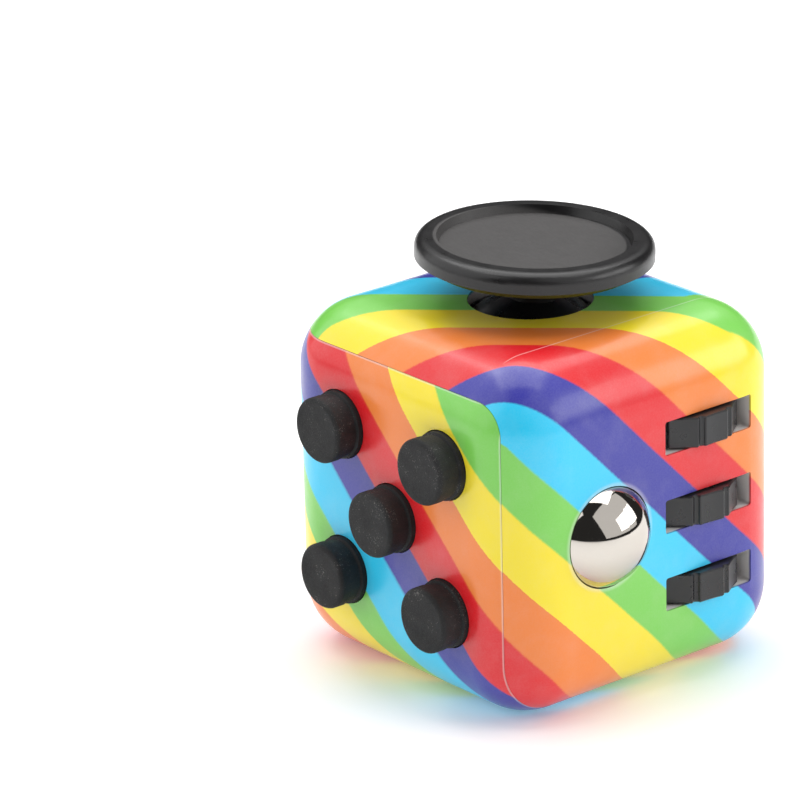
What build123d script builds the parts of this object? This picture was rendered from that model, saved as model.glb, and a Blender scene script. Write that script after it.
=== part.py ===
"""Fidget cube: a palm-sized desk toy with a different thing to fiddle with on each face.

Frame, in millimetres: +Z is up and the origin is the centre of the cube's underside.
-Y carries five push buttons, +X a steel ball and three thumb wheels, +Z a joystick,
+Y a rocker switch, -X a spinning dial, and the underside a shallow dish for the thumb.
"""

import os
from math import cos, radians, sin, sqrt, tan

from build123d import *

# Casing
CUBE = 33.0                  # edge of the cube
HALF = CUBE / 2
EDGE_R = 6.3                 # rounding of every outer edge
WALL = 2.0
SEAM_INSET = 2.93            # the zigzag seam's distance in from the faces it runs beside
SEAM_R = 3.0                 # rounding of the seam where it turns a corner
SEAM_GAP = 0.05
INNER = HALF - WALL          # inside face of a side wall
CEILING = CUBE - WALL        # inside face of the top wall
SEAM = HALF - SEAM_INSET     # where the two shells meet, on X and on Y
SEAM_TOP = CUBE - SEAM_INSET
SLIP = 0.05                  # radial clearance of a running fit

# Dowels that line the two shells up, one in each of three corners
DOWEL_R = 0.75
DOWEL_LENGTH = 4.2
DOWEL_START = 10.8           # from the cube's middle, along the dowel
DOWEL_OFFSET = 11.9          # from the cube's middle, across the dowel
DOWEL_BOSS_R = 1.8
DOWEL_BOSS_START = 10.0

# Thumb dish in the underside
DISH_R = 8.6
DISH_DEPTH = 1.4
DISH_SPHERE_R = (DISH_R ** 2 + DISH_DEPTH ** 2) / (2 * DISH_DEPTH)
DISH_PAD_R = 9.2
DISH_PAD_TOP = 3.2

# Screws that hold the inner plates, all alike
SCREW_HEAD_R = 1.25
SCREW_HEAD_H = 0.8
SCREW_R = 0.6
SCREW_LENGTH = 3.6
BOSS_R = 1.6

# Push buttons, on -Y
BUTTON_PITCH = 6.95          # across and up, from the middle button to the other four
BUTTON_CAP_R = 3.0
BUTTON_CAP_ROUND = 0.4
BUTTON_WAIST_R = 2.88
BUTTON_COLLAR_R = 3.1
BUTTON_PROUD = 2.75
BUTTON_COLLAR_H = 0.55
BUTTON_CAP_H = 1.25
BUTTON_HOLE_R = BUTTON_COLLAR_R + 0.1
BUTTON_FLANGE_R = 3.7
BUTTON_FLANGE_DEPTH = 2.95   # from the face to the back of the flange inside
BUTTON_POST_R = 1.0
BUTTON_POST_DEPTH = 5.4
CLICK_PLATE_Y = -11.4        # outer face of the plate behind the buttons
CLICK_PLATE_T = 1.2
CLICK_PLATE_SIZE = 19.4
CLICK_SCREW_REACH = 7.2

# Joystick, on +Z
SPRING_PEG_R = 1.0
SPRING_PEG_H = 0.7
PIVOT_Z = 25.0               # both tilt axes cross here
LEAN_X = -1.4                # the stick's play leaves it leaning a little, about X and about Y
LEAN_Y = 1.4
PAD_R = 10.7
PAD_BOTTOM = 36.3
PAD_TOP = 38.85
PAD_FLAT_R = 8.5
PAD_FLAT_Z = 38.1
STEM_R = 2.25
SPIGOT_R = 1.6
SPIGOT_TOP = 37.15
OPENING_R = 5.65
DOME_R = 8.6
DOME_T = 0.8
DOME_HALF_ANGLE = 58.0
DOME_CLEARANCE = 0.25
HUB_R = 2.6
HUB_HALF_H = 1.4
TRUNNION_R = 0.8
RING_INNER_R = 4.2
RING_OUTER_R = 5.6
RING_HALF_H = 1.0
RING_TRUNNION_REACH = 7.3
HUB_TRUNNION_REACH = 5.4
GLIDE_PLATE_TOP = 22.3
GLIDE_PLATE_T = 1.4
GLIDE_PLATE_R = 7.7
GLIDE_BOSS_REACH = 8.2
SPRING_WELL_R = 2.1
SPRING_WELL_FLOOR = 19.5

# Thumb wheels and ball, on +X
WHEEL_PITCH = 7.37
WHEEL_Y = 6.17
WHEEL_X = 12.3
WHEEL_R = 5.44
WHEEL_TEETH = 10
WHEEL_NOTCH_R = 0.32
WHEEL_HOLLOW_R = 14.0        # each tooth's top curves in a little for the fingertip
WHEEL_HOLLOW = 0.27
WHEEL_T = 2.8
WHEEL_SLOT_LENGTH = 10.35
WHEEL_SLOT_HEIGHT = 3.15
SHAFT_R = 1.0
SHAFT_BOTTOM = 5.0
SHAFT_TOP = 27.4
RIB_T = 1.4
RIB_REACH = 4.0
RIB_WIDTH = 5.0
BALL_Y = -5.62
BALL_R = 5.1
BALL_DEPTH = 2.25            # centre of the ball below the face
BALL_X = HALF - BALL_DEPTH
BALL_CLEARANCE = 0.08
SEAT_R = 3.8
SEAT_BACK = 8.2
SEAT_STEM_R = 1.5
SEAT_STEM_END = 4.2
HOLDER_FRONT = 5.0
HOLDER_T = 1.4
HOLDER_BOSS_SPREAD = 2.6
HOLDER_BOSS_Z = 7.4

# Rocker switch, on +Y
ROCKER_TILT = 12.0           # either side of straight
ROCKER_WIDTH = 8.2
ROCKER_HALF_HEIGHT = 6.7
ROCKER_PIN_Y = 13.2
ROCKER_HOLLOW = 1.1          # how far the outer face curves in at its middle
ROCKER_CAM_R = 2.12          # from the pin to each of the two flats that rest on the leaf spring
ROCKER_CAM_HALF = 1.2
ROCKER_PIN_R = 0.8
ROCKER_PROUD = BUTTON_PROUD
ROCKER_OPENING_HEIGHT = 15.4
ROCKER_OPENING_WIDTH = 8.6
EAR_T = 1.4
LEAF_FRONT = 10.98
LEAF_T = 0.25
LEAF_WIDTH = 3.6
LEAF_SCREW_REACH = 9.4

# Spinning dial, on -X
DIAL_R = 8.2
DIAL_T = 1.5
DIAL_GAP = 0.08
DIAL_NOTCHES = 30
AXLE_R = 2.2
NUB_R = 1.7
NUB_REACH = 5.0
NUB_PROUD = BALL_R - BALL_DEPTH
WASHER_R = 3.4
WASHER_T = 0.7

# Springs
BUTTON_SPRING_R = 1.7
BALL_SPRING_R = 2.0
GLIDE_SPRING_R = 1.5
GLIDE_SPRING_GAP = 0.1       # room under the stick for its lean
SPRING_WIRE_R = 0.16


def front(x, z, y=-HALF):
    """Plane on the button side: local Z points out of the face and local Y up."""
    return Plane(origin=(x, y, z), x_dir=(1, 0, 0), z_dir=(0, -1, 0))


def right(y, z, x=HALF):
    """Plane on the wheel side: local Z points out of the face and local Y up."""
    return Plane(origin=(x, y, z), x_dir=(0, 1, 0), z_dir=(1, 0, 0))


def back(x, z, y=HALF):
    """Plane on the rocker side: local Z points out of the face and local Y up."""
    return Plane(origin=(x, y, z), x_dir=(-1, 0, 0), z_dir=(0, 1, 0))


def left(y, z, x=-HALF):
    """Plane on the dial side: local Z points out of the face and local Y up."""
    return Plane(origin=(x, y, z), x_dir=(0, -1, 0), z_dir=(-1, 0, 0))


def section(plane):
    """The plane's own cross-section: local X is the radius and local Y the plane's normal."""
    return Plane(origin=plane.origin, x_dir=plane.x_dir, z_dir=-plane.y_dir)


def normal_axis(plane):
    """The axis that a turned piece on this plane turns about."""
    return Axis(plane.origin, plane.z_dir)


def about_pivot(x_dir, z_dir):
    """Plane through the joystick's pivot, moved back along its normal by the pivot's height."""
    pivot = Vector(0, 0, PIVOT_Z)
    return Plane(origin=pivot - Vector(*z_dir) * PIVOT_Z, x_dir=x_dir, z_dir=z_dir)


def save(piece, name):
    """Label a finished piece and write its file."""
    piece.label = name
    export_step(piece, f"parts/{name}.step")


def make_screws(places):
    """Pan-head screws with a cross recess: each place's normal points out of the head."""
    with BuildPart() as screws:
        for place in places:
            with BuildSketch(section(place)) as outline:
                with BuildLine():
                    Polyline(
                        (0, -SCREW_LENGTH),
                        (SCREW_R * 0.4, -SCREW_LENGTH),
                        (SCREW_R, -SCREW_LENGTH + 0.8),
                        (SCREW_R, 0),
                        (SCREW_HEAD_R, 0),
                        (SCREW_HEAD_R, SCREW_HEAD_H),
                        (0, SCREW_HEAD_H),
                        close=True,
                    )
                make_face()
                rim = outline.vertices().group_by(Axis.Y)[-1].sort_by(Axis.X)[-1]
                fillet(rim, SCREW_HEAD_H * 0.6)
            revolve(axis=normal_axis(place))
            with BuildSketch(place.offset(SCREW_HEAD_H)):
                Rectangle(1.5, 0.3)
                Rectangle(0.3, 1.5)
            extrude(amount=-0.45, mode=Mode.SUBTRACT)
    return screws.part


def make_springs(places, coil_r, length, turns):
    """Round-wire compression springs that stand on each place and rise along its normal."""
    with BuildPart() as springs:
        for place in places:
            pitch = (length - 2.5 * SPRING_WIRE_R) / turns
            start = place.offset(1.25 * SPRING_WIRE_R)
            with BuildLine() as coil:
                Helix(pitch, pitch * turns, coil_r, center=start.origin, direction=start.z_dir)
            wire = coil.line
            with BuildSketch(Plane(origin=wire @ 0, z_dir=wire % 0)):
                Circle(SPRING_WIRE_R)
            sweep(path=wire)
    return springs.part


os.makedirs("parts", exist_ok=True)

WHEEL_LEVELS = [HALF + step * WHEEL_PITCH for step in (-1, 0, 1)]
WHEEL_NAMES = ["lower_wheel", "middle_wheel", "upper_wheel"]
WHEEL_TURNS = [-6.0, -5.5, 0.5]      # how far each wheel happens to be turned
BUTTONS = {
    "upper_left_button": (-BUTTON_PITCH, HALF + BUTTON_PITCH),
    "upper_right_button": (BUTTON_PITCH, HALF + BUTTON_PITCH),
    "middle_button": (0, HALF),
    "lower_left_button": (-BUTTON_PITCH, HALF - BUTTON_PITCH),
    "lower_right_button": (BUTTON_PITCH, HALF - BUTTON_PITCH),
}
CLICK_SCREWS = [(-CLICK_SCREW_REACH, HALF), (0, HALF - CLICK_SCREW_REACH), (0, HALF + CLICK_SCREW_REACH)]
GLIDE_BOSSES = [
    (-GLIDE_BOSS_REACH, -GLIDE_BOSS_REACH),
    (-GLIDE_BOSS_REACH, GLIDE_BOSS_REACH),
    (GLIDE_BOSS_REACH, -GLIDE_BOSS_REACH),
]
HOLDER_BOSSES = [(BALL_Y - HOLDER_BOSS_SPREAD, HOLDER_BOSS_Z), (BALL_Y + HOLDER_BOSS_SPREAD, HOLDER_BOSS_Z)]
LEAF_BOSSES = [HALF - LEAF_SCREW_REACH, HALF + LEAF_SCREW_REACH]
RIB_LEVELS = [SHAFT_BOTTOM + 1.1, HALF - WHEEL_PITCH / 2, HALF + WHEEL_PITCH / 2, SHAFT_TOP - 0.4]

# Each dowel's axis starts at the cube's middle, offset across into its corner.
DOWEL_AXES = [
    Plane(origin=(-DOWEL_OFFSET, -DOWEL_OFFSET, HALF), x_dir=(1, 0, 0), z_dir=(0, 0, 1)),
    Plane(origin=(-DOWEL_OFFSET, 0, HALF - DOWEL_OFFSET), x_dir=(1, 0, 0), z_dir=(0, 1, 0)),
    Plane(origin=(0, -DOWEL_OFFSET, HALF - DOWEL_OFFSET), x_dir=(0, 1, 0), z_dir=(1, 0, 0)),
]


# ---------------------------------------------------------------- casing

# The space that the lower shell takes its share of the casing from.
with BuildPart() as lower_region:
    with BuildSketch(Plane.XY.offset(-1)):
        with Locations((SEAM, SEAM)):
            Rectangle(CUBE, CUBE, align=(Align.MAX, Align.MAX))
    extrude(amount=SEAM_TOP + 1)
    near_corner = lower_region.edges().filter_by(
        lambda edge: (edge @ 0.5).X > SEAM - 0.1 and (edge @ 0.5).Y > SEAM - 0.1
    )
    over_right = lower_region.edges().filter_by(
        lambda edge: (edge @ 0.5).X > SEAM - 0.1 and (edge @ 0.5).Z > SEAM_TOP - 0.1
    )
    over_back = lower_region.edges().filter_by(
        lambda edge: (edge @ 0.5).Y > SEAM - 0.1 and (edge @ 0.5).Z > SEAM_TOP - 0.1
    )
    fillet(near_corner + over_right + over_back, SEAM_R)

# The same space grown by the hairline gap, which the upper shell stays out of.
with BuildPart() as upper_clear:
    add(lower_region.part)
    offset(amount=SEAM_GAP, kind=Kind.ARC)

with BuildPart() as cavity:
    with BuildSketch(Plane.XY.offset(WALL)):
        Rectangle(2 * INNER, 2 * INNER)
    extrude(amount=CUBE - 2 * WALL)
    fillet(cavity.edges(), EDGE_R - WALL)

with BuildPart() as casing:
    with BuildSketch(Plane.XY):
        Rectangle(CUBE, CUBE)
    extrude(amount=CUBE)
    fillet(casing.edges(), EDGE_R)
    add(cavity.part, mode=Mode.SUBTRACT)

with BuildPart() as lower_shell:
    add(casing.part)
    add(lower_region.part, mode=Mode.INTERSECT)
    # Button holes, and the bosses that carry the plate behind the buttons.
    for x, z in BUTTONS.values():
        with BuildSketch(front(x, z)):
            Circle(BUTTON_HOLE_R)
        extrude(amount=-WALL - 1, mode=Mode.SUBTRACT)
    for x, z in CLICK_SCREWS:
        with BuildSketch(front(x, z, CLICK_PLATE_Y)):
            Circle(BOSS_R)
        extrude(amount=INNER + CLICK_PLATE_Y + WALL / 4)
    # Bore for the dial's axle.
    with BuildSketch(left(0, HALF)):
        Circle(AXLE_R + SLIP)
    extrude(amount=-WALL - 1, mode=Mode.SUBTRACT)
    # The floor is thicker over the thumb dish.
    with BuildSketch(Plane.XY.offset(WALL / 2)):
        Circle(DISH_PAD_R)
    extrude(amount=DISH_PAD_TOP - WALL / 2)
    with Locations((0, 0, DISH_DEPTH - DISH_SPHERE_R)):
        Sphere(DISH_SPHERE_R, mode=Mode.SUBTRACT)
    # Post under the wheel shaft, and the dowel bosses.
    with BuildSketch(Plane.XY.offset(WALL / 2)):
        with Locations((WHEEL_X - 0.6, WHEEL_Y)):
            Circle(SHAFT_R + 0.5)
    extrude(amount=SHAFT_BOTTOM - WALL / 2)
    for axis_plane in DOWEL_AXES:
        with BuildSketch(axis_plane.offset(DOWEL_BOSS_START)):
            Circle(DOWEL_BOSS_R)
        extrude(amount=SEAM - DOWEL_BOSS_START)
    for axis_plane in DOWEL_AXES:
        with BuildSketch(axis_plane.offset(DOWEL_START)):
            Circle(DOWEL_R)
        extrude(amount=DOWEL_LENGTH, mode=Mode.SUBTRACT)
    for x, z in CLICK_SCREWS:
        with BuildSketch(front(x, z, CLICK_PLATE_Y)):
            Circle(SCREW_R)
        extrude(amount=SCREW_LENGTH - CLICK_PLATE_T, mode=Mode.SUBTRACT)
save(lower_shell.part, "lower_shell")

with BuildPart() as upper_shell:
    add(casing.part)
    add(upper_clear.part, mode=Mode.SUBTRACT)
    # Round opening for the joystick, relieved inside so that the dome can swing.
    with BuildSketch(Plane.XY.offset(CUBE)):
        Circle(OPENING_R)
    extrude(amount=-WALL, mode=Mode.SUBTRACT)
    with Locations((0, 0, PIVOT_Z)):
        Sphere(DOME_R + DOME_CLEARANCE, mode=Mode.SUBTRACT)
    for x, y in GLIDE_BOSSES:
        with BuildSketch(Plane.XY.offset(GLIDE_PLATE_TOP)):
            with Locations((x, y)):
                Circle(BOSS_R)
        extrude(amount=CEILING + WALL / 4 - GLIDE_PLATE_TOP)
    # Wheel slots, and the ribs that carry the wheel shaft.
    for level in WHEEL_LEVELS:
        with BuildSketch(right(WHEEL_Y, level)):
            RectangleRounded(WHEEL_SLOT_LENGTH, WHEEL_SLOT_HEIGHT, 0.25)
        extrude(amount=-WALL - 0.5, mode=Mode.SUBTRACT)
    for level in RIB_LEVELS:
        with BuildSketch(right(WHEEL_Y, level, INNER - RIB_REACH)):
            Rectangle(RIB_WIDTH, RIB_T)
        extrude(amount=RIB_REACH + WALL / 4)
    with BuildSketch(Plane.XY.offset(SHAFT_BOTTOM)):
        with Locations((WHEEL_X, WHEEL_Y)):
            Circle(SHAFT_R)
    extrude(amount=SHAFT_TOP - SHAFT_BOTTOM, mode=Mode.SUBTRACT)
    # The ball stands in a round hole whose lip is smaller than the ball.
    for y, z in HOLDER_BOSSES:
        with BuildSketch(right(y, z, HOLDER_FRONT)):
            Circle(BOSS_R)
        extrude(amount=INNER + WALL / 4 - HOLDER_FRONT)
    with Locations((BALL_X, BALL_Y, HALF)):
        Sphere(BALL_R + BALL_CLEARANCE, mode=Mode.SUBTRACT)
    # Rocker opening, with an ear on each side for its pin.
    with BuildSketch(back(0, HALF)):
        RectangleRounded(ROCKER_OPENING_WIDTH, ROCKER_OPENING_HEIGHT, 0.5)
    extrude(amount=-WALL, mode=Mode.SUBTRACT)
    for side in (-1, 1):
        with BuildSketch(back(side * (ROCKER_OPENING_WIDTH + EAR_T + 0.2) / 2, HALF, ROCKER_PIN_Y - 1.6)):
            Rectangle(EAR_T, 3.6)
        extrude(amount=INNER + WALL / 4 - ROCKER_PIN_Y + 1.6)
    for level in LEAF_BOSSES:
        with BuildSketch(back(0, level, LEAF_FRONT)):
            Circle(BOSS_R)
        extrude(amount=INNER + WALL / 4 - LEAF_FRONT)
    with BuildSketch(right(ROCKER_PIN_Y, HALF, -ROCKER_OPENING_WIDTH)):
        Circle(ROCKER_PIN_R)
    extrude(amount=2 * ROCKER_OPENING_WIDTH, mode=Mode.SUBTRACT)
    # Dowel bosses and bores, and the bores for the screws.
    for axis_plane in DOWEL_AXES:
        with BuildSketch(axis_plane.offset(SEAM + SEAM_GAP)):
            Circle(DOWEL_BOSS_R)
        extrude(amount=SEAM_INSET / 4)
    for axis_plane in DOWEL_AXES:
        with BuildSketch(axis_plane.offset(DOWEL_START)):
            Circle(DOWEL_R)
        extrude(amount=DOWEL_LENGTH, mode=Mode.SUBTRACT)
    for x, y in GLIDE_BOSSES:
        with BuildSketch(Plane.XY.offset(GLIDE_PLATE_TOP)):
            with Locations((x, y)):
                Circle(SCREW_R)
        extrude(amount=SCREW_LENGTH - GLIDE_PLATE_T, mode=Mode.SUBTRACT)
    for y, z in HOLDER_BOSSES:
        with BuildSketch(right(y, z, HOLDER_FRONT)):
            Circle(SCREW_R)
        extrude(amount=SCREW_LENGTH - HOLDER_T, mode=Mode.SUBTRACT)
    for level in LEAF_BOSSES:
        with BuildSketch(back(0, level, LEAF_FRONT)):
            Circle(SCREW_R)
        extrude(amount=SCREW_LENGTH - LEAF_T, mode=Mode.SUBTRACT)
save(upper_shell.part, "upper_shell")

with BuildPart() as shell_dowels:
    for axis_plane in DOWEL_AXES:
        with BuildSketch(axis_plane.offset(DOWEL_START)):
            Circle(DOWEL_R)
        extrude(amount=DOWEL_LENGTH)
save(shell_dowels.part, "shell_dowels")


# ---------------------------------------------------------------- push buttons

for name, (x, z) in BUTTONS.items():
    face = front(x, z)
    with BuildPart() as button:
        with BuildSketch(section(face)) as outline:
            with BuildLine():
                Polyline(
                    (0, BUTTON_PROUD),
                    (BUTTON_CAP_R, BUTTON_PROUD),
                    (BUTTON_CAP_R, BUTTON_PROUD - BUTTON_CAP_H),
                    (BUTTON_WAIST_R, BUTTON_PROUD - BUTTON_CAP_H),
                    (BUTTON_WAIST_R, BUTTON_COLLAR_H),
                    (BUTTON_COLLAR_R, BUTTON_COLLAR_H - 0.15),
                    (BUTTON_COLLAR_R, -WALL - SLIP),
                    (BUTTON_FLANGE_R, -WALL - SLIP),
                    (BUTTON_FLANGE_R, -BUTTON_FLANGE_DEPTH),
                    (BUTTON_POST_R, -BUTTON_FLANGE_DEPTH),
                    (BUTTON_POST_R, -BUTTON_POST_DEPTH),
                    (0, -BUTTON_POST_DEPTH),
                    close=True,
                )
            make_face()
            cap_rim = outline.vertices().group_by(Axis.Y)[-1].sort_by(Axis.X)[-1]
            fillet(cap_rim, BUTTON_CAP_ROUND)
        revolve(axis=normal_axis(face))
    save(button.part, name)

with BuildPart() as click_plate:
    with BuildSketch(front(0, HALF, CLICK_PLATE_Y)):
        RectangleRounded(CLICK_PLATE_SIZE, CLICK_PLATE_SIZE, 2.8)
    extrude(amount=-CLICK_PLATE_T)
    for x, z in BUTTONS.values():
        with BuildSketch(front(x, z, CLICK_PLATE_Y)):
            Circle(BUTTON_POST_R + 3 * SLIP)
        extrude(amount=-CLICK_PLATE_T, mode=Mode.SUBTRACT)
    for x, z in CLICK_SCREWS:
        with BuildSketch(front(x, z, CLICK_PLATE_Y)):
            Circle(SCREW_R)
        extrude(amount=-CLICK_PLATE_T, mode=Mode.SUBTRACT)
save(click_plate.part, "click_plate")

click_screw_places = [
    Plane(origin=(x, CLICK_PLATE_Y + CLICK_PLATE_T, z), x_dir=(-1, 0, 0), z_dir=(0, 1, 0))
    for x, z in CLICK_SCREWS
]
save(make_screws(click_screw_places), "click_screws")

button_spring_places = [front(x, z, CLICK_PLATE_Y) for x, z in BUTTONS.values()]
button_spring_length = HALF - BUTTON_FLANGE_DEPTH + CLICK_PLATE_Y
save(make_springs(button_spring_places, BUTTON_SPRING_R, button_spring_length, 3), "button_springs")


# ---------------------------------------------------------------- joystick

# The ring leans about X, and the stick in it about the ring's own Y.
sin_x, cos_x = sin(radians(LEAN_X)), cos(radians(LEAN_X))
sin_y, cos_y = sin(radians(LEAN_Y)), cos(radians(LEAN_Y))
ring_plane = about_pivot((1, 0, 0), (0, -sin_x, cos_x))
stick_plane = about_pivot((cos_y, sin_x * sin_y, -cos_x * sin_y), (sin_y, -sin_x * cos_y, cos_x * cos_y))

with BuildPart() as thumb_pad:
    with BuildSketch(section(stick_plane)) as outline:
        with BuildLine():
            Polyline(
                (0, SPIGOT_TOP),
                (SPIGOT_R, SPIGOT_TOP),
                (SPIGOT_R, PAD_BOTTOM),
                (PAD_R - 1.3, PAD_BOTTOM),
                (PAD_R, PAD_BOTTOM + 0.75),
                (PAD_R, PAD_TOP),
                (PAD_FLAT_R + 0.25, PAD_TOP),
                (PAD_FLAT_R, PAD_FLAT_Z),
                (0, PAD_FLAT_Z),
                close=True,
            )
        make_face()
        corners = outline.vertices()
        rim_top = corners.group_by(Axis.Y)[-1].sort_by(Axis.X)
        rim_bottom = corners.filter_by(lambda corner: corner.X > PAD_R - 0.01).sort_by(Axis.Y)[0]
        fillet(rim_top[-1], 1.0)
        fillet(rim_bottom, 0.7)
        fillet(rim_top[0], 0.45)
    revolve(axis=normal_axis(stick_plane))
save(thumb_pad.part, "thumb_pad")

hub_top = PIVOT_Z + HUB_HALF_H
hub_bottom = PIVOT_Z - HUB_HALF_H
with BuildPart() as joystick_stem:
    with BuildSketch(section(stick_plane)):
        with BuildLine():
            Polyline(
                (0, SPIGOT_TOP),
                (SPIGOT_R, SPIGOT_TOP),
                (SPIGOT_R, PAD_BOTTOM),
                (STEM_R, PAD_BOTTOM),
                (STEM_R, hub_top),
                (HUB_R, hub_top - 0.3),
                (HUB_R, hub_bottom),
                (SPRING_PEG_R, hub_bottom),
                (SPRING_PEG_R, hub_bottom - SPRING_PEG_H),
                (0, hub_bottom - SPRING_PEG_H),
                close=True,
            )
        make_face()
    revolve(axis=normal_axis(stick_plane))
    with BuildSketch(section(stick_plane).offset(-HUB_TRUNNION_REACH)):
        with Locations((0, PIVOT_Z)):
            Circle(TRUNNION_R)
    extrude(amount=2 * HUB_TRUNNION_REACH)
save(joystick_stem.part, "joystick_stem")

# Shallow dome that rides on the stem and closes the opening at every tilt.
dome_edge_z = PIVOT_Z + DOME_R * cos(radians(DOME_HALF_ANGLE))
with BuildPart() as joystick_dome:
    with Locations((0, 0, PIVOT_Z)):
        Sphere(DOME_R)
        Sphere(DOME_R - DOME_T, mode=Mode.SUBTRACT)
    split(bisect_by=stick_plane.offset(dome_edge_z), keep=Keep.TOP)
    with BuildSketch(stick_plane.offset(dome_edge_z)):
        Circle(STEM_R)
    extrude(amount=DOME_R, mode=Mode.SUBTRACT)
save(joystick_dome.part, "joystick_dome")

with BuildPart() as gimbal_ring:
    with BuildSketch(ring_plane.offset(PIVOT_Z - RING_HALF_H)):
        Circle(RING_OUTER_R)
        Circle(RING_INNER_R, mode=Mode.SUBTRACT)
    extrude(amount=2 * RING_HALF_H)
    for side in (-1, 1):
        with BuildSketch(right(0, PIVOT_Z, side * (RING_OUTER_R - 0.6))):
            Circle(TRUNNION_R)
        extrude(amount=side * (RING_TRUNNION_REACH - RING_OUTER_R + 0.6))
    with BuildSketch(section(ring_plane).offset(-RING_OUTER_R)):
        with Locations((0, PIVOT_Z)):
            Circle(TRUNNION_R + SLIP)
    extrude(amount=2 * RING_OUTER_R, mode=Mode.SUBTRACT)
save(gimbal_ring.part, "gimbal_ring")

glide_plate_bottom = GLIDE_PLATE_TOP - GLIDE_PLATE_T
with BuildPart() as glide_plate:
    with BuildSketch(Plane.XY.offset(glide_plate_bottom)):
        Circle(GLIDE_PLATE_R)
        for x, y in GLIDE_BOSSES:
            with Locations((x, y)):
                Circle(BOSS_R + 0.25)
            with Locations(Location((x / 2, y / 2), 45 if x * y > 0 else -45)):
                Rectangle(GLIDE_BOSS_REACH * sqrt(2), 3.2)
    extrude(amount=GLIDE_PLATE_T)
    # Well for the centring spring.
    with BuildSketch(Plane.XY.offset(SPRING_WELL_FLOOR - 0.8)):
        Circle(SPRING_WELL_R + 0.8)
    extrude(amount=glide_plate_bottom - SPRING_WELL_FLOOR + 0.8)
    with BuildSketch(Plane.XY.offset(SPRING_WELL_FLOOR)):
        Circle(SPRING_WELL_R)
    extrude(amount=GLIDE_PLATE_TOP - SPRING_WELL_FLOOR, mode=Mode.SUBTRACT)
    # Bearing blocks for the gimbal ring, open at the top so that it snaps in.
    for side in (-1, 1):
        with BuildSketch(Plane.XY.offset(GLIDE_PLATE_TOP)):
            with Locations((side * (RING_OUTER_R + RING_TRUNNION_REACH + 0.5) / 2, 0)):
                Rectangle(1.6, 3.0)
        extrude(amount=PIVOT_Z + 1.3 - GLIDE_PLATE_TOP)
    with BuildSketch(right(0, PIVOT_Z, -GLIDE_PLATE_R - 1)):
        Circle(TRUNNION_R + SLIP)
        with Locations((0, 1)):
            Rectangle(1.5, 2)
    extrude(amount=2 * GLIDE_PLATE_R + 2, mode=Mode.SUBTRACT)
    for x, y in GLIDE_BOSSES:
        with BuildSketch(Plane.XY.offset(glide_plate_bottom)):
            with Locations((x, y)):
                Circle(SCREW_R)
        extrude(amount=GLIDE_PLATE_T, mode=Mode.SUBTRACT)
save(glide_plate.part, "glide_plate")

glide_screw_places = [
    Plane(origin=(x, y, glide_plate_bottom), x_dir=(1, 0, 0), z_dir=(0, 0, -1)) for x, y in GLIDE_BOSSES
]
save(make_screws(glide_screw_places), "glide_screws")
glide_spring_place = Plane.XY.offset(SPRING_WELL_FLOOR)
glide_spring_length = hub_bottom - SPRING_WELL_FLOOR - GLIDE_SPRING_GAP
save(make_springs([glide_spring_place], GLIDE_SPRING_R, glide_spring_length, 5), "glide_spring")


# ---------------------------------------------------------------- thumb wheels

for name, level, turn in zip(WHEEL_NAMES, WHEEL_LEVELS, WHEEL_TURNS):
    with BuildPart() as wheel:
        with BuildSketch(Plane.XY.offset(level - WHEEL_T / 2)) as outline:
            with Locations(Location((WHEEL_X, WHEEL_Y), turn)):
                Circle(WHEEL_R)
                with PolarLocations(WHEEL_R - WHEEL_HOLLOW + WHEEL_HOLLOW_R, WHEEL_TEETH):
                    Circle(WHEEL_HOLLOW_R, mode=Mode.SUBTRACT)
                with PolarLocations(WHEEL_R, WHEEL_TEETH, start_angle=180 / WHEEL_TEETH):
                    Circle(WHEEL_NOTCH_R, mode=Mode.SUBTRACT)
            fillet(outline.vertices(), 0.15)
            with Locations((WHEEL_X, WHEEL_Y)):
                Circle(SHAFT_R + SLIP, mode=Mode.SUBTRACT)
        extrude(amount=WHEEL_T)
        rims = wheel.faces().filter_by(Axis.Z).wires().filter_by(lambda wire: wire.length > 4 * WHEEL_R)
        chamfer(rims.edges(), 0.12)
    save(wheel.part, name)

with BuildPart() as wheel_shaft:
    with BuildSketch(Plane.XY.offset(SHAFT_BOTTOM)):
        with Locations((WHEEL_X, WHEEL_Y)):
            Circle(SHAFT_R)
    extrude(amount=SHAFT_TOP - SHAFT_BOTTOM)
save(wheel_shaft.part, "wheel_shaft")


# ---------------------------------------------------------------- ball

with BuildPart() as steel_ball:
    with Locations((BALL_X, BALL_Y, HALF)):
        Sphere(BALL_R)
save(steel_ball.part, "steel_ball")

# Cup behind the ball, on a stem that slides back through the holder when the ball is pressed.
with BuildPart() as ball_seat:
    with BuildSketch(right(BALL_Y, HALF, SEAT_BACK)):
        Circle(SEAT_R)
    extrude(amount=BALL_X - SEAT_BACK)
    with Locations((BALL_X, BALL_Y, HALF)):
        Sphere(BALL_R + BALL_CLEARANCE, mode=Mode.SUBTRACT)
    with BuildSketch(right(BALL_Y, HALF, SEAT_STEM_END)):
        Circle(SEAT_STEM_R)
    extrude(amount=SEAT_BACK - SEAT_STEM_END)
save(ball_seat.part, "ball_seat")

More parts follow.
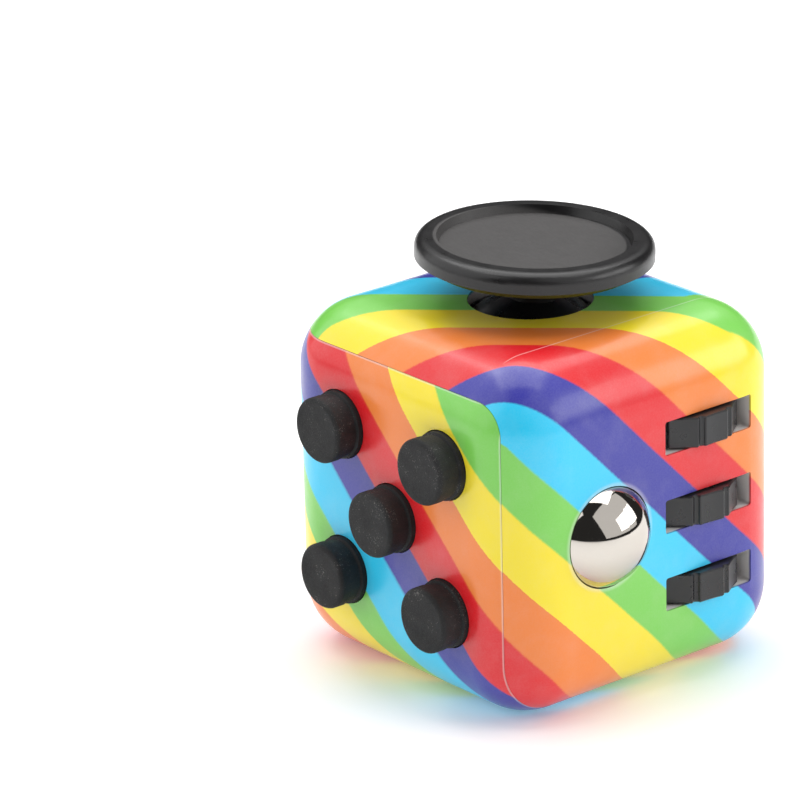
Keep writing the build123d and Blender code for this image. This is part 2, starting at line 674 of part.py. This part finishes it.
with BuildPart() as ball_holder:
    with BuildSketch(right(BALL_Y, HALF, HOLDER_FRONT - HOLDER_T)):
        Circle(3.6)
        with Locations((0, (HOLDER_BOSS_Z - HALF) / 2)):
            Rectangle(5.2, HALF - HOLDER_BOSS_Z)
        for y, z in HOLDER_BOSSES:
            with Locations((y - BALL_Y, z - HALF)):
                Circle(BOSS_R)
    extrude(amount=HOLDER_T)
    with BuildSketch(right(BALL_Y, HALF, HOLDER_FRONT)):
        Circle(BALL_SPRING_R + 1.0)
        Circle(BALL_SPRING_R + 0.35, mode=Mode.SUBTRACT)
    extrude(amount=1.6)
    with BuildSketch(right(BALL_Y, HALF, HOLDER_FRONT - HOLDER_T)):
        Circle(SEAT_STEM_R + SLIP)
        for y, z in HOLDER_BOSSES:
            with Locations((y - BALL_Y, z - HALF)):
                Circle(SCREW_R)
    extrude(amount=HOLDER_T, mode=Mode.SUBTRACT)
save(ball_holder.part, "ball_holder")

holder_screw_places = [
    Plane(origin=(HOLDER_FRONT - HOLDER_T, y, z), x_dir=(0, 1, 0), z_dir=(-1, 0, 0)) for y, z in HOLDER_BOSSES
]
save(make_screws(holder_screw_places), "holder_screws")
ball_spring_place = right(BALL_Y, HALF, HOLDER_FRONT)
save(make_springs([ball_spring_place], BALL_SPRING_R, SEAT_BACK - HOLDER_FRONT, 4), "ball_spring")


# ---------------------------------------------------------------- rocker switch

# The rocker is drawn straight, then tipped about its pin so that its upper end stands proud.
# Its cam has a ridge between two flats, one for each of its two resting places.
rocker_reach = HALF + ROCKER_PROUD - ROCKER_PIN_Y
rocker_tip = (rocker_reach - ROCKER_HALF_HEIGHT * sin(radians(ROCKER_TILT))) / cos(radians(ROCKER_TILT))
cam_ridge = ROCKER_CAM_R / cos(radians(ROCKER_TILT))
cam_side = cam_ridge - ROCKER_CAM_HALF * tan(radians(ROCKER_TILT))
rocker_centre = Plane(
    origin=(0, ROCKER_PIN_Y, HALF),
    x_dir=(0, cos(radians(ROCKER_TILT)), -sin(radians(ROCKER_TILT))),
    z_dir=(1, 0, 0),
)
with BuildPart() as rocker:
    with BuildSketch(rocker_centre.offset(-ROCKER_WIDTH / 2)):
        with BuildLine():
            ThreePointArc(
                (rocker_tip, ROCKER_HALF_HEIGHT),
                (rocker_tip - ROCKER_HOLLOW, 0),
                (rocker_tip, -ROCKER_HALF_HEIGHT),
            )
            Polyline(
                (rocker_tip, -ROCKER_HALF_HEIGHT),
                (1.4, -ROCKER_HALF_HEIGHT + 0.3),
                (-cam_side, -ROCKER_CAM_HALF),
                (-cam_ridge, 0),
                (-cam_side, ROCKER_CAM_HALF),
                (1.4, ROCKER_HALF_HEIGHT - 0.3),
                (rocker_tip, ROCKER_HALF_HEIGHT),
            )
        make_face()
    extrude(amount=ROCKER_WIDTH)
    with BuildSketch(rocker_centre.offset(-ROCKER_WIDTH / 2)):
        Circle(ROCKER_PIN_R + SLIP)
    extrude(amount=ROCKER_WIDTH, mode=Mode.SUBTRACT)
save(rocker.part, "rocker")

with BuildPart() as rocker_pin:
    with BuildSketch(right(ROCKER_PIN_Y, HALF, -ROCKER_OPENING_WIDTH / 2 - EAR_T)):
        Circle(ROCKER_PIN_R)
    extrude(amount=ROCKER_OPENING_WIDTH + 2 * EAR_T)
save(rocker_pin.part, "rocker_pin")

with BuildPart() as leaf_spring:
    with BuildSketch(back(0, HALF, LEAF_FRONT - LEAF_T)):
        SlotCenterToCenter(2 * LEAF_SCREW_REACH, LEAF_WIDTH, rotation=90)
        with Locations((0, -LEAF_SCREW_REACH), (0, LEAF_SCREW_REACH)):
            Circle(SCREW_R, mode=Mode.SUBTRACT)
    extrude(amount=LEAF_T)
save(leaf_spring.part, "leaf_spring")

leaf_screw_places = [
    Plane(origin=(0, LEAF_FRONT - LEAF_T, level), x_dir=(1, 0, 0), z_dir=(0, -1, 0)) for level in LEAF_BOSSES
]
save(make_screws(leaf_screw_places), "leaf_screws")


# ---------------------------------------------------------------- spinning dial

dial_face = left(0, HALF)
axle_end = WALL + SLIP
with BuildPart() as spin_dial:
    with BuildSketch(section(dial_face)) as outline:
        with BuildLine():
            Polyline(
                (0, DIAL_GAP + DIAL_T),
                (DIAL_R, DIAL_GAP + DIAL_T),
                (DIAL_R, DIAL_GAP),
                (AXLE_R, DIAL_GAP),
                (AXLE_R, -axle_end),
                (SCREW_R, -axle_end),
                (SCREW_R, DIAL_GAP + 1.0),
                (0, DIAL_GAP + 1.0),
                close=True,
            )
        make_face()
    revolve(axis=normal_axis(dial_face))
    with BuildSketch(dial_face.offset(DIAL_GAP)):
        with PolarLocations(DIAL_R + 0.25, DIAL_NOTCHES):
            Circle(0.5)
    extrude(amount=DIAL_T, mode=Mode.SUBTRACT)
    rim = spin_dial.faces().sort_by(Axis.X)[0].outer_wire().edges()
    chamfer(rim, 0.3)
    # A shallow ring for the fingertip to run in, and the nub that it pushes.
    with BuildSketch(dial_face.offset(DIAL_GAP + DIAL_T)):
        Circle(DIAL_R - 1.2)
        Circle(1.9, mode=Mode.SUBTRACT)
    extrude(amount=-0.35, mode=Mode.SUBTRACT)
    with BuildSketch(dial_face.offset(DIAL_GAP + 0.5)):
        with Locations((0, NUB_REACH)):
            Circle(NUB_R)
    extrude(amount=NUB_PROUD - DIAL_GAP - 0.5)
    fillet(spin_dial.faces().sort_by(Axis.X)[0].edges(), 0.6)
save(spin_dial.part, "spin_dial")

with BuildPart() as spin_washer:
    with BuildSketch(left(0, HALF, -HALF + axle_end)):
        Circle(WASHER_R)
        Circle(SCREW_R, mode=Mode.SUBTRACT)
    extrude(amount=-WASHER_T)
save(spin_washer.part, "spin_washer")

spin_screw_place = Plane(origin=(-HALF + axle_end + WASHER_T, 0, HALF), x_dir=(0, 1, 0), z_dir=(1, 0, 0))
save(make_screws([spin_screw_place]), "spin_screw")
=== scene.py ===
"""Looks of the fidget cube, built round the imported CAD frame. Metres, +Z up.

The two casing shells wear a rainbow film, dipped on each shell separately, over white plastic.
"""

from math import cos, pi, radians, sin

import bmesh
import bpy
from mathutils import Matrix, Vector


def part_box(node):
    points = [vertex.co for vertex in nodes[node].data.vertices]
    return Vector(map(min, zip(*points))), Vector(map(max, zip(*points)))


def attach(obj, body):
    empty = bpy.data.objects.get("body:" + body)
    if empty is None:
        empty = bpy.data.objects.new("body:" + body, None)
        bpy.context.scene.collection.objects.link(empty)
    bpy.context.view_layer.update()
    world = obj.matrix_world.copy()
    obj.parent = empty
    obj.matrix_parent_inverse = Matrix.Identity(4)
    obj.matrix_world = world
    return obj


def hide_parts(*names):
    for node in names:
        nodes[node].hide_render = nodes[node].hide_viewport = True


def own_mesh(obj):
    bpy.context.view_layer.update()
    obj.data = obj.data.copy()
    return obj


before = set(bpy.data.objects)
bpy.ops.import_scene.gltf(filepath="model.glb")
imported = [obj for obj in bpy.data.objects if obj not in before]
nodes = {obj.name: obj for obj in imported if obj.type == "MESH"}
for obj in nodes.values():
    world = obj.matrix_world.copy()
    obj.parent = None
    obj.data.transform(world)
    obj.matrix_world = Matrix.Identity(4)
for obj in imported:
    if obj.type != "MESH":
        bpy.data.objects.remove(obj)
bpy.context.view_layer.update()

MM = 0.001

# The casing, read from the frame: the two shells together fill the cube.
shell_low, shell_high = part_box("lower_shell")[0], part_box("upper_shell")[1]
CUBE = shell_high.z - shell_low.z
HALF = CUBE / 2
EDGE_R = 6.3 * MM                    # rounding of the casing's outer edges
CORE = HALF - EDGE_R                 # half size of the box inside the roundings
CORE_LOW = (-CORE, -CORE, EDGE_R)    # that box's corners
CORE_HIGH = (CORE, CORE, CUBE - EDGE_R)
LOWER_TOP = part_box("lower_shell")[1]  # the lower shell's highest x, y and z, where the seam runs
BALL_LOW, BALL_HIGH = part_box("steel_ball")
BALL_MIDDLE = (BALL_LOW + BALL_HIGH) / 2
BALL_R = (BALL_HIGH.x - BALL_LOW.x) / 2
BALL_HOLE_R = (BALL_R ** 2 - (HALF - BALL_MIDDLE.x) ** 2) ** 0.5
PAD_LOW, PAD_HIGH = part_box("thumb_pad")
PAD_R = (PAD_HIGH.x - PAD_LOW.x) / 2
BUTTONS = ("upper_left", "upper_right", "middle", "lower_left", "lower_right")
BUTTON_MIDDLES = {side: sum(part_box(f"{side}_button"), Vector()) / 2 for side in BUTTONS}

# Film: how far the bands wander and how ragged their edges are, and over what distance each repeats.
SWAY, SWAY_SIZE = 0.7 * MM, 14 * MM
FUZZ, FUZZ_SIZE = 0.16 * MM, 0.25 * MM
GRAIN_SIZE = 0.16 * MM               # print grain
CLOUD_SIZE = 3.5 * MM                # patches where the film stretched thin
PEEL_SIZE, PEEL_DEPTH = 0.9 * MM, 0.008 * MM
TOP_EDGE_TURN = 0.95                 # share of the turn over the top edge that the stripes follow
MOULD_LINE_X, MOULD_LINE_WHITE = CORE + 0.15 * MM, 0.4
# The pale ring round the ball's hole is a painted highlight: its radius and how white it is.
LIP_R, LIP_HIGHLIGHT = BALL_HOLE_R + 0.1 * MM, 0.28
# How white the seam line is: partly bare plastic, partly painted highlight on the seam's edges.
LOWER_SEAM_PLASTIC_AND_HIGHLIGHT = 0.35
COAT, COAT_ROUGHNESS = 0.35, 0.16
PAD_FLAT_R = 0.8 * PAD_R

# Studio: distances in metres, angles in degrees, azimuth counted from -Y towards +X.
SOFTBOX_DISTANCE = 0.8
SOFTBOXES = (                        # azimuth, elevation, width, height, brightness
    ("right_box", 112, 36, 1.4, 1.0, 0.8),
    ("glow_box", 132, 22, 0.7, 0.35, 2.7),
    ("left_box", -40, 36, 1.3, 1.0, 1.3),
    ("back_box", -130, 48, 1.0, 0.6, 0.7),
    ("top_box", -130, 76, 0.9, 0.8, 2.7),
)
WORLD_LIGHT = 0.03
FLOOR_SIZE, FLOOR_LIGHT = 6.0, 0.12
CAMERA_AZIMUTH, CAMERA_ELEVATION, CAMERA_ROLL = 50.519, 20.578, -1.418
CAMERA_DISTANCE, CAMERA_LENS, SENSOR_WIDTH = 0.4789, 239.7 * MM, 36 * MM
CUBE_BESIDE, CUBE_BELOW = 0.1665, 0.0888  # from the frame's middle to the cube's, in widths of the frame


# ---------------------------------------------------------------- node helpers

class Nodes:
    """Short forms for the nodes that a material is made of."""

    def __init__(self, name):
        self.material = bpy.data.materials.new(name)
        self.material.use_nodes = True
        self.tree = self.material.node_tree
        self.shader = self.tree.nodes["Principled BSDF"]

    def new(self, kind, **settings):
        node = self.tree.nodes.new(kind)
        for key, value in settings.items():
            setattr(node, key, value)
        return node

    def feed(self, socket, value):
        if isinstance(value, bpy.types.NodeSocket):
            self.tree.links.new(value, socket)
        else:
            socket.default_value = value

    def math(self, operation, a, b=0.0, c=0.0):
        node = self.new("ShaderNodeMath", operation=operation)
        for socket, value in zip(node.inputs, (a, b, c)):
            self.feed(socket, value)
        return node.outputs[0]

    def vector(self, operation, a, b=(0, 0, 0)):
        node = self.new("ShaderNodeVectorMath", operation=operation)
        for socket, value in zip(node.inputs, (a, b)):
            self.feed(socket, value)
        return node.outputs["Value" if operation == "LENGTH" else "Vector"]

    def step(self, value, low, high):
        """0 below low and 1 above high, smooth between."""
        node = self.new("ShaderNodeMapRange", interpolation_type="SMOOTHSTEP")
        self.feed(node.inputs["Value"], value)
        self.feed(node.inputs["From Min"], low)
        self.feed(node.inputs["From Max"], high)
        return node.outputs["Result"]

    def span(self, value, low, high, to_low, to_high):
        node = self.new("ShaderNodeMapRange")
        for key, number in (("Value", value), ("From Min", low), ("From Max", high)):
            self.feed(node.inputs[key], number)
        self.feed(node.inputs["To Min"], to_low)
        self.feed(node.inputs["To Max"], to_high)
        return node.outputs["Result"]

    def mix(self, amount, a, b):
        node = self.new("ShaderNodeMix", data_type="RGBA")
        self.feed(node.inputs["Factor"], amount)
        colours = [socket for socket in node.inputs if socket.type == "RGBA"]
        self.feed(colours[0], a)
        self.feed(colours[1], b)
        return [socket for socket in node.outputs if socket.type == "RGBA"][0]

    def place(self):
        """The point being shaded, in the row frame, in metres."""
        return self.new("ShaderNodeTexCoord").outputs["Object"]

    def parts(self, vector):
        node = self.new("ShaderNodeSeparateXYZ")
        self.feed(node.inputs[0], vector)
        return node.outputs

    def noise(self, vector, size, detail=2.0, roughness=0.5):
        """Noise whose features are about size metres across."""
        node = self.new("ShaderNodeTexNoise")
        self.feed(node.inputs["Vector"], vector)
        node.inputs["Scale"].default_value = 1.0 / size
        node.inputs["Detail"].default_value = detail
        node.inputs["Roughness"].default_value = roughness
        return node.outputs["Fac"]

    def bump(self, height, distance, strength=1.0, under=None):
        node = self.new("ShaderNodeBump")
        self.feed(node.inputs["Height"], height)
        node.inputs["Distance"].default_value = distance
        node.inputs["Strength"].default_value = strength
        if under is not None:
            self.feed(node.inputs["Normal"], under)
        return node.outputs["Normal"]

    def set(self, **inputs):
        for key, value in inputs.items():
            self.feed(self.shader.inputs[key.replace("_", " ")], value)
        return self.material


def srgb(red, green, blue):
    """A colour given in 0 to 255 screen values, as linear RGBA."""
    def linear(channel):
        c = channel / 255
        return c / 12.92 if c <= 0.04045 else ((c + 0.055) / 1.055) ** 2.4
    return (linear(red), linear(green), linear(blue), 1.0)


# ---------------------------------------------------------------- rainbow film

ORANGE = srgb(240, 130, 50)
RED = srgb(224, 18, 30)
BLUE = srgb(50, 50, 158)
CYAN = srgb(44, 202, 244)
GREEN = srgb(122, 206, 82)
YELLOW = srgb(246, 224, 30)
WHITE = srgb(240, 240, 238)
# Band widths across the stripes, in mm, for each shell's own dip, in the order that they repeat.
UPPER_BANDS = ((ORANGE, 6.2), (RED, 6.1), (BLUE, 5.7), (CYAN, 6.4), (GREEN, 5.75), (YELLOW, 6.4))
LOWER_BANDS = (
    (ORANGE, 5.9), (RED, 6.55), (BLUE, 5.5), (CYAN, 6.5), (GREEN, 4.5), (YELLOW, 5.7),
    (ORANGE, 5.9), (RED, 6.55), (BLUE, 5.5), (CYAN, 6.5), (GREEN, 7.5), (YELLOW, 6.45),
)
UPPER_START = -18.75                 # where an orange band starts, in mm along the stripes' axis
LOWER_START = -28.85
BAND_SOFTNESS = 0.22                 # width of the blend between bands, in mm


def stripe_colour(n, travel, bands, start):
    """Repeats the bands along travel, a distance in mm."""
    period = sum(width for _, width in bands)
    phase = n.math("WRAP", n.math("SUBTRACT", travel, start), period, 0.0)
    ramp = n.new("ShaderNodeValToRGB")
    n.feed(ramp.inputs[0], n.math("DIVIDE", phase, period))
    stops = ramp.color_ramp
    while len(stops.elements) < 2 * len(bands):
        stops.elements.new(0.5)
    edge = 0.0
    places = []
    for colour, width in bands:
        places.append(((edge + BAND_SOFTNESS / 2) / period, colour))
        edge += width
        places.append(((edge - BAND_SOFTNESS / 2) / period, colour))
    for element, (position, colour) in zip(stops.elements, places):
        element.position = position
        element.color = colour
    return ramp.outputs["Color"]


def unrolled(n, point):
    """A point of the casing as its place on the box inside the roundings and the way it faces there."""
    inner = n.vector("MAXIMUM", n.vector("MINIMUM", point, CORE_HIGH), CORE_LOW)
    outward = n.vector("SUBTRACT", point, inner)
    depth = n.vector("LENGTH", outward)
    return n.parts(inner), n.parts(n.vector("NORMALIZE", outward)), depth


def upper_travel(n, at, facing):
    """Distance along the upper shell's stripes: over the top, and down the ball and wheel face."""
    flat = n.math("SUBTRACT", n.math("SUBTRACT", at["X"], at["Y"]), at["Z"])
    forward = n.math("ARCSINE", n.math("MULTIPLY", facing["Y"], -1.0))
    over = n.math("ARCTAN2", facing["Z"], facing["X"])
    behind = n.math("MULTIPLY", n.math("ARCCOSINE", n.math("MAXIMUM", facing["Y"], 0.0)), 2 / pi)
    over = n.math("MULTIPLY", n.math("MULTIPLY", over, behind), -TOP_EDGE_TURN)
    turn = n.math("ADD", n.math("ADD", forward, over), 1.0)
    return n.math("MULTIPLY_ADD", turn, EDGE_R, flat)


def lower_travel(n, at, facing):
    """Distance along the lower shell's stripes: up the button face and round its edges.

    It turns back where the dial side rounds into the rocker side, so the stripes bend sharply there.
    """
    flat = n.math("SUBTRACT", n.math("ADD", at["X"], at["Z"]), n.math("ADD", at["Y"], CORE))
    turn = n.math("ADD", n.math("ARCSINE", facing["X"]), n.math("ARCSINE", facing["Z"]))
    return n.math("MULTIPLY", n.math("MULTIPLY_ADD", turn, EDGE_R, flat), -1.0)


def close_to(n, distance, near, far):
    """1 where the distance, of either sign, is under near, falling to 0 at far."""
    return n.math("SUBTRACT", 1.0, n.step(n.math("ABSOLUTE", distance), near, far))


def film(name, travel_of, bands, start, seam_plastic_and_highlight):
    """Printed film over white plastic, unrolled over the casing's rounded edges."""
    n = Nodes(name)
    point = n.place()
    at, facing, depth = unrolled(n, point)
    here = n.parts(point)
    travel = travel_of(n, at, facing)
    for reach, size in ((SWAY, SWAY_SIZE), (FUZZ, FUZZ_SIZE)):
        drift = n.math("SUBTRACT", n.noise(point, size, 1.0), 0.5)
        travel = n.math("MULTIPLY_ADD", drift, reach, travel)
    colour = stripe_colour(n, n.math("MULTIPLY", travel, 1 / MM), bands, start)

    # Fine print grain, and cloudy patches where the film stretched thin.
    grain = n.noise(point, GRAIN_SIZE, 3.0, 0.6)
    cloud = n.noise(point, CLOUD_SIZE, 3.0, 0.6)
    thin = n.math("ADD", n.span(grain, 0.35, 0.75, 0.0, 0.03), n.span(cloud, 0.45, 0.8, 0.0, 0.05))
    colour = n.mix(thin, colour, WHITE)

    # A pale moulding line runs along the top. The pale line at the seam is partly the white plastic
    # showing and partly a painted highlight on the seam's edges.
    on_top = n.step(here["Z"], CUBE - 0.4 * MM, CUBE - 0.1 * MM)
    line = close_to(n, n.math("SUBTRACT", here["X"], MOULD_LINE_X), 0.02 * MM, 0.09 * MM)
    colour = n.mix(n.math("MULTIPLY", n.math("MULTIPLY", line, on_top), MOULD_LINE_WHITE), colour, WHITE)
    seam = 0.0
    for axis, limit in zip("XYZ", LOWER_TOP):
        near = close_to(n, n.math("SUBTRACT", here[axis], limit), 0.04 * MM, 0.16 * MM)
        seam = n.math("MAXIMUM", seam, near)
    colour = n.mix(n.math("MULTIPLY", seam, seam_plastic_and_highlight), colour, WHITE)

    # Painted highlight: a pale ring round the ball's hole stands in for light caught on the hole's
    # bevelled lip.
    from_ball = n.vector("SUBTRACT", point, BALL_MIDDLE)
    from_ball = n.vector("LENGTH", n.vector("MULTIPLY", from_ball, (0, 1, 1)))
    lip_highlight = close_to(n, n.math("SUBTRACT", from_ball, LIP_R), 0.08 * MM, 0.45 * MM)
    lip_highlight = n.math("MULTIPLY", lip_highlight, n.step(here["X"], HALF - 0.3 * MM, HALF - 0.1 * MM))
    colour = n.mix(n.math("MULTIPLY", lip_highlight, LIP_HIGHLIGHT), colour, WHITE)

    # Inside the openings the film gives out and the white plastic is left.
    inside = n.math("SUBTRACT", 1.0, n.step(depth, EDGE_R - 0.35 * MM, EDGE_R - 0.05 * MM))
    colour = n.mix(inside, colour, srgb(244, 240, 238))
    orange_peel = n.bump(n.noise(point, PEEL_SIZE, 2.0), PEEL_DEPTH)
    tooth = n.bump(grain, 0.003 * MM, 1.0, orange_peel)
    rough = n.span(n.noise(point, 3 * MM, 3.0), 0.3, 0.7, 0.28, 0.38)
    return n.set(
        Base_Color=colour,
        Roughness=rough,
        Normal=tooth,
        IOR=1.45,
        Coat_Weight=COAT,
        Coat_Roughness=COAT_ROUGHNESS,
    )


upper_film = film("upper_film", upper_travel, UPPER_BANDS, UPPER_START, 0.0)
lower_film = film("lower_film", lower_travel, LOWER_BANDS, LOWER_START, LOWER_SEAM_PLASTIC_AND_HIGHLIGHT)


# ---------------------------------------------------------------- plain materials

def button_rubber():
    """Matt black rubber with pale dust in its grain."""
    n = Nodes("button_rubber")
    point = n.place()
    grain = n.noise(point, 0.14 * MM, 4.0, 0.7)
    patches = n.noise(point, 2.2 * MM, 2.0)
    dust = n.step(n.math("MULTIPLY", grain, n.span(patches, 0.3, 0.7, 0.85, 1.12)), 0.60, 0.72)
    colour = n.mix(n.span(patches, 0.3, 0.7, 0.0, 1.0), srgb(25, 25, 26), srgb(38, 38, 39))
    colour = n.mix(n.math("MULTIPLY", dust, 0.6), colour, srgb(128, 126, 122))
    return n.set(
        Base_Color=colour,
        Roughness=n.span(grain, 0.3, 0.7, 0.62, 0.85),
        Normal=n.bump(grain, 0.03 * MM),
        Specular_IOR_Level=0.35,
    )


def satin_black():
    """Moulded black plastic, satin on the rim and finely brushed on the pad's flat, whose lighter grey is
    partly painted reflection.
    """
    n = Nodes("satin_black")
    point = n.place()
    here = n.parts(point)
    reach = n.math("SQRT", n.math("ADD", n.math("POWER", here["X"], 2.0), n.math("POWER", here["Y"], 2.0)))
    flat = n.math("SUBTRACT", 1.0, n.step(reach, PAD_FLAT_R - 0.01 * PAD_R, PAD_FLAT_R + 0.01 * PAD_R))
    flat = n.math("MULTIPLY", flat, n.step(here["Z"], PAD_LOW.z + 1.5 * MM, PAD_LOW.z + 2.0 * MM))
    stretched = n.vector("MULTIPLY", point, (0.12, 1.0, 1.0))
    brushing = n.noise(stretched, 0.12 * MM, 3.0, 0.6)
    mottle = n.noise(point, 1.6 * MM, 3.0, 0.6)
    rim_colour = n.mix(mottle, srgb(17, 16, 17), srgb(27, 26, 27))
    # The flat's lighter grey is partly its brushed finish and partly painted reflection of the bright
    # surroundings.
    flat_grey_and_painted_sheen = n.mix(brushing, srgb(56, 55, 55), srgb(78, 76, 75))
    fine = n.noise(point, 0.2 * MM, 2.0)
    rough = n.math("ADD", n.span(mottle, 0.3, 0.7, 0.27, 0.36), n.math("MULTIPLY", flat, 0.2))
    return n.set(
        Base_Color=n.mix(flat, rim_colour, flat_grey_and_painted_sheen),
        Roughness=rough,
        Normal=n.bump(n.mix(flat, fine, brushing), 0.008 * MM),
    )


def gloss_black(name, roughness, tint=(17, 17, 18)):
    n = Nodes(name)
    point = n.place()
    cloud = n.noise(point, 1.8 * MM, 3.0)
    fine = n.noise(point, 0.3 * MM, 2.0)
    lighter = tuple(channel + 12 for channel in tint)
    return n.set(
        Base_Color=n.mix(cloud, srgb(*tint), srgb(*lighter)),
        Roughness=n.span(cloud, 0.3, 0.7, roughness * 0.8, roughness * 1.25),
        Normal=n.bump(fine, 0.004 * MM),
    )


def metal(name, colour, low, high, grain, marks=0.2):
    """Bare metal with fine scratches; low and high are its roughness limits."""
    n = Nodes(name)
    point = n.place()
    scratches = n.noise(n.vector("MULTIPLY", point, (1.0, 0.2, 1.0)), grain, 4.0, 0.65)
    haze = n.noise(point, 2.5 * MM, 2.0)
    dark = tuple(channel * (1 - marks) for channel in colour[:3]) + (1.0,)
    return n.set(
        Base_Color=n.mix(scratches, dark, colour),
        Metallic=1.0,
        Roughness=n.span(haze, 0.3, 0.7, low, high),
        Normal=n.bump(scratches, 0.0015 * MM),
    )


def white_plastic():
    n = Nodes("white_plastic")
    point = n.place()
    cloud = n.noise(point, 2 * MM, 3.0)
    return n.set(
        Base_Color=n.mix(cloud, srgb(222, 221, 216), srgb(238, 237, 233)),
        Roughness=n.span(cloud, 0.3, 0.7, 0.4, 0.55),
        Normal=n.bump(n.noise(point, 0.3 * MM), 0.006 * MM),
    )


rubber = button_rubber()
satin = satin_black()
wheel_black = gloss_black("wheel_black", 0.3, (26, 26, 28))
dome_black = gloss_black("dome_black", 0.3, (12, 12, 13))
ball_chrome = metal("ball_chrome", (0.60, 0.56, 0.51, 1.0), 0.03, 0.07, 0.5 * MM, 0.06)
bright_steel = metal("bright_steel", (0.60, 0.60, 0.61, 1.0), 0.18, 0.3, 0.2 * MM)
zinc_steel = metal("zinc_steel", (0.66, 0.66, 0.68, 1.0), 0.25, 0.4, 0.2 * MM)
white = white_plastic()

FINISHES = {
    "upper_shell": upper_film,
    "lower_shell": lower_film,
    "thumb_pad": satin,
    "joystick_stem": satin,
    "joystick_dome": dome_black,
    "gimbal_ring": wheel_black,
    "rocker": wheel_black,
    "spin_dial": satin,
    "steel_ball": ball_chrome,
    "wheel_shaft": bright_steel,
    "rocker_pin": bright_steel,
    "leaf_spring": bright_steel,
    "spin_washer": zinc_steel,
    "spin_screw": zinc_steel,
}


def finish_for(name):
    """The material that a CAD node wears."""
    if name in FINISHES:
        return FINISHES[name]
    if name.endswith("_button"):
        return rubber
    if name.endswith("_wheel"):
        return wheel_black
    if name.endswith(("_screws", "_screw")):
        return zinc_steel
    if name.endswith(("_springs", "_spring")):
        return bright_steel
    return white


for name, piece in nodes.items():
    piece.data.materials.clear()
    piece.data.materials.append(finish_for(name))


# ---------------------------------------------------------------- springs

def part_of(source, name, belongs):
    """A piece of its own, from the points of a CAD node's mesh that belong to it."""
    mesh = bmesh.new()
    mesh.from_mesh(source.data)
    mesh.transform(source.matrix_world)
    strangers = [vertex for vertex in mesh.verts if not belongs(vertex.co)]
    bmesh.ops.delete(mesh, geom=strangers, context="VERTS")
    data = source.data.copy()
    mesh.to_mesh(data)
    mesh.free()
    piece = bpy.data.objects.new(name, data)
    bpy.context.scene.collection.objects.link(piece)
    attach(piece, "casing")
    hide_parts(source.name)
    return piece


def give_way(piece):
    """Gives a spring a copy of its mesh of its own; the spring is not pressed shorter."""
    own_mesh(piece)


def nearest_button(point):
    """The button straight in front of a point."""
    def distance(side):
        middle = BUTTON_MIDDLES[side]
        return (point.x - middle.x) ** 2 + (point.z - middle.z) ** 2
    return min(BUTTONS, key=distance)


def button_springs():
    """The five return springs share a CAD node; each is split off by the button in front of it and hung on
    the casing.
    """
    for side in BUTTONS:
        spring = part_of(
            nodes["button_springs"], f"{side}_spring", lambda point: nearest_button(point) == side
        )
        give_way(spring)


def ball_spring():
    spring = part_of(nodes["ball_spring"], "ball_coil", lambda point: True)
    give_way(spring)


button_springs()
ball_spring()


# ---------------------------------------------------------------- floor, light and camera

def stage_floor():
    n = Nodes("floor_paper")
    n.set(
        Base_Color=n.mix(n.noise(n.place(), 60 * MM, 2.0), srgb(250, 250, 250), srgb(253, 253, 253)),
        Roughness=0.9,
        Emission_Color=(1, 1, 1, 1),
        Emission_Strength=FLOOR_LIGHT,
    )
    bpy.ops.mesh.primitive_plane_add(size=FLOOR_SIZE, location=(0, 0, 0))
    floor = bpy.context.object
    floor.name = "floor"
    floor.data.materials.append(n.material)


def softbox(name, azimuth, elevation, width, height, brightness):
    """A soft light facing the cube. Azimuth is counted from -Y towards +X; brightness 1 is just white."""
    azimuth, elevation = radians(azimuth), radians(elevation)
    towards = Vector((sin(azimuth) * cos(elevation), -cos(azimuth) * cos(elevation), sin(elevation)))
    data = bpy.data.lights.new(name, "AREA")
    data.shape = "RECTANGLE"
    data.size, data.size_y = width, height
    data.energy = brightness * pi * width * height
    light = bpy.data.objects.new(name, data)
    bpy.context.scene.collection.objects.link(light)
    light.location = Vector((0, 0, HALF)) + towards * SOFTBOX_DISTANCE
    light.rotation_euler = (-towards).to_track_quat("-Z", "Y").to_euler()


def studio_world():
    world = bpy.data.worlds.new("studio")
    bpy.context.scene.world = world
    world.use_nodes = True
    back = world.node_tree.nodes["Background"]
    back.inputs["Color"].default_value = (1, 1, 1, 1)
    back.inputs["Strength"].default_value = WORLD_LIGHT


def photo_camera():
    """A long lens, low and to the right of the button face, with the cube right of the middle."""
    azimuth, elevation, roll = (radians(a) for a in (CAMERA_AZIMUTH, CAMERA_ELEVATION, CAMERA_ROLL))
    back = Vector((sin(azimuth) * cos(elevation), -cos(azimuth) * cos(elevation), sin(elevation)))
    level = Vector((cos(azimuth), sin(azimuth), 0))
    upright = back.cross(level)
    right = cos(roll) * level + sin(roll) * upright
    up = cos(roll) * upright - sin(roll) * level
    view_width = SENSOR_WIDTH / CAMERA_LENS * CAMERA_DISTANCE
    beside, below = CUBE_BESIDE * view_width, CUBE_BELOW * view_width
    data = bpy.data.cameras.new("camera")
    data.sensor_width = SENSOR_WIDTH / MM
    data.lens = CAMERA_LENS / MM
    data.clip_start, data.clip_end = 0.01, 20
    camera = bpy.data.objects.new("camera", data)
    bpy.context.scene.collection.objects.link(camera)
    turn = Matrix((right, up, back)).transposed()
    camera.matrix_world = Matrix.Translation(
        Vector((0, 0, HALF)) + back * CAMERA_DISTANCE - right * beside + up * below
    ) @ turn.to_4x4()
    bpy.context.scene.camera = camera


stage_floor()
studio_world()
for softbox_facts in SOFTBOXES:
    softbox(*softbox_facts)
photo_camera()
bpy.context.scene.view_settings.view_transform = "Standard"
